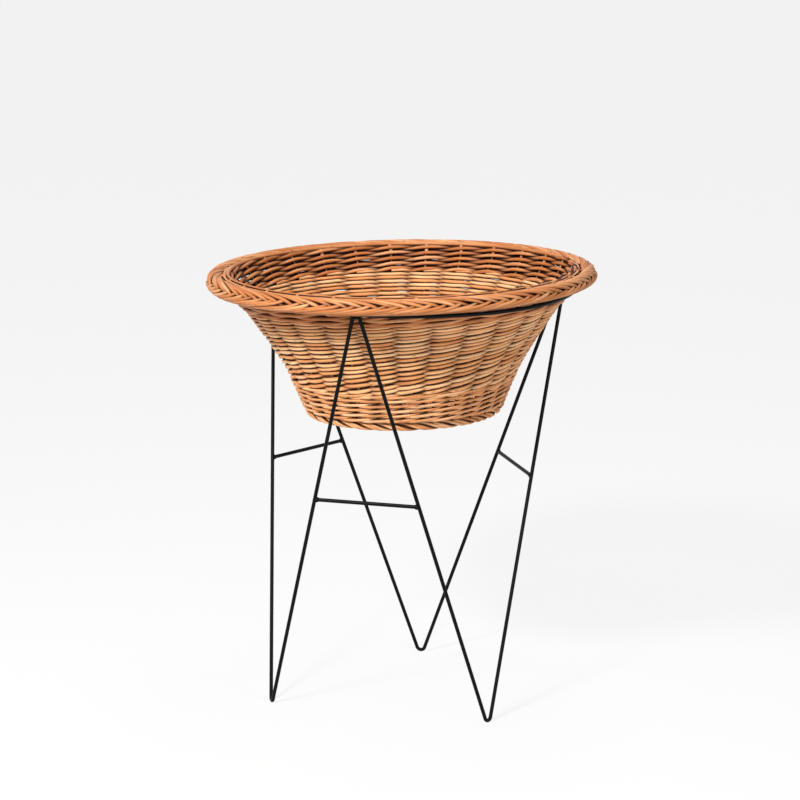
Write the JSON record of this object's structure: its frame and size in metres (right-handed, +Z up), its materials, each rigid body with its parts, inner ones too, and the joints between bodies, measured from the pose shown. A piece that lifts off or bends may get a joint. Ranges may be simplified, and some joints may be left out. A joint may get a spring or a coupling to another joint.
{
  "type": "produce display stand",
  "caption": "Round woven willow basket hung by its plaited border in a tall black steel rod stand with a ring, bent hairpin legs and crossbars.",
  "frame": {"origin": "on the floor, under the middle of the ring", "axes": "+Z up; -Y towards the front, where two legs meet under the ring and carry the front crossbar; +X to the right as seen from the front"},
  "size_m": [0.7298, 0.7302, 0.8474],
  "materials": {
    "black_rod": "satin black powder coat",
    "willow_border": "buff willow, plaited, matt with a slight sheen",
    "willow_weave": "buff willow, woven, matt with a slight sheen",
    "willow_band": "buff willow, woven in heavy bands",
    "willow_stake": "buff willow sticks, matt"
  },
  "bodies": {
    "stand": {"ring_hoop": "black_rod", "leg_right": "black_rod", "leg_rear": "black_rod", "leg_left": "black_rod", "crossbar_front": "black_rod", "crossbar_right": "black_rod", "crossbar_left": "black_rod", "ring_weld_front": "black_rod", "ring_weld_right": "black_rod", "ring_weld_left": "black_rod", "bar_weld_front": "black_rod", "bar_weld_right": "black_rod", "bar_weld_left": "black_rod"},
    "basket": {"border_plait": "willow_border", "top_wale_outer": "willow_weave", "top_wale_inner": "willow_weave", "side_weave_outer": "willow_weave", "side_weave_inner": "willow_weave", "foot_wale_outer": "willow_band", "foot_wale_inner": "willow_band", "foot_border": "willow_band", "side_stakes": "willow_stake", "base_sticks_lower": "willow_stake", "base_sticks_upper": "willow_stake", "base_weave": "willow_weave"}
  },
  "joints": [
    {"name": "basket_lift", "type": "slide", "parent": "stand", "child": "basket", "axis": [0, 0, 1], "range_m": [0, 0.3]}
  ]
}
